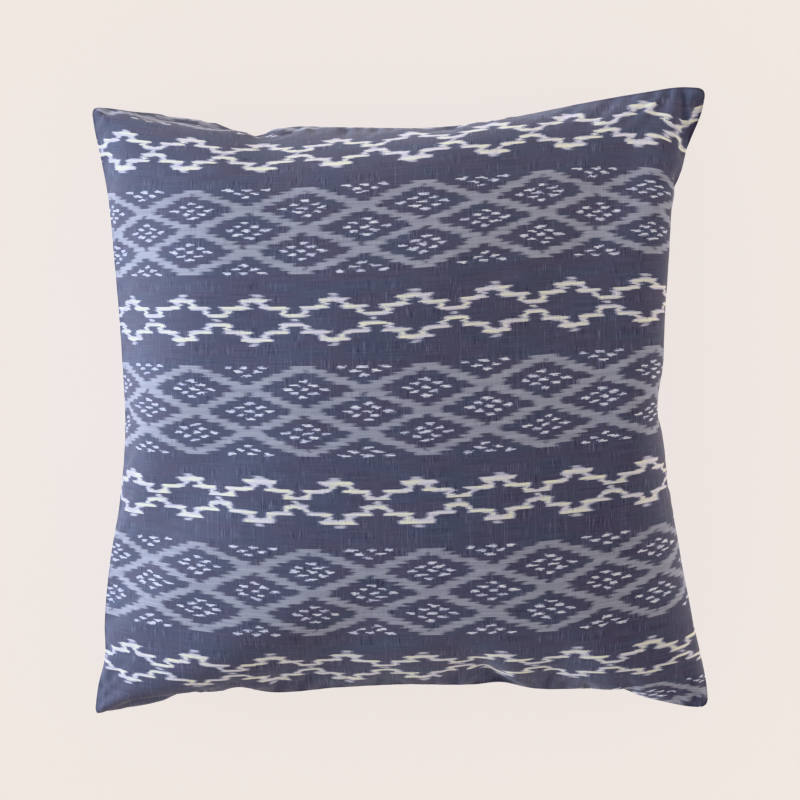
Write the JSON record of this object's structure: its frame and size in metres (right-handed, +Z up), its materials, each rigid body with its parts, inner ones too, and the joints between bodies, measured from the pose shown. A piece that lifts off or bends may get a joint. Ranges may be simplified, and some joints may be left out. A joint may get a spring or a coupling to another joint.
{
  "type": "decorative cushion",
  "caption": "Square knife-edge cushion lying on its back, crowned and filled, sides drawn in between pointed ears, in dark blue weft ikat cloth with pale chain and lattice bands.",
  "frame": {"origin": "bottom centre of the cushion, on the surface it lies on", "axes": "+Z up out of the face, +X to the right and +Y to the top of the face as pictured"},
  "size_m": [0.493, 0.5025, 0.1548],
  "materials": {
    "ikat_cloth": "matt plain-weave cotton, dark blue with fine paler warp streaks; chain and lattice bands tie-dyed into the weft in white and grey blue, with feathered edges"
  },
  "bodies": {
    "root": {"cushion": "ikat_cloth"}
  },
  "joints": []
}
